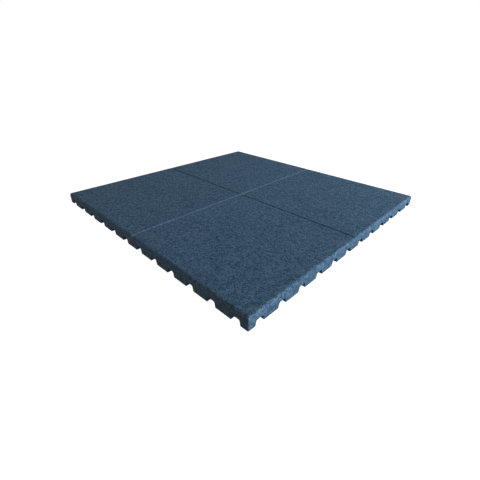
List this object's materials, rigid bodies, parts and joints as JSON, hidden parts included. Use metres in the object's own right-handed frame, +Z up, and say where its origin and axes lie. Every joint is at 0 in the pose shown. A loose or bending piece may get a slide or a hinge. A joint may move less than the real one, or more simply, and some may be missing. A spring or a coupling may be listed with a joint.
{
  "type": "rubber floor tile",
  "caption": "Square floor tile moulded from bound rubber crumb, with a flat tread, rounded edges, crossing V grooves, and square feet with drainage channels between them.",
  "frame": {"origin": "middle of the square, at the level the feet stand on", "axes": "+Z up, from the feet to the tread; X and Y along the tile's sides"},
  "size_m": [1, 1, 0.04],
  "materials": {
    "bound_rubber_crumb": "matte"
  },
  "bodies": {
    "root": {"rubber_tile": "bound_rubber_crumb"}
  },
  "joints": []
}
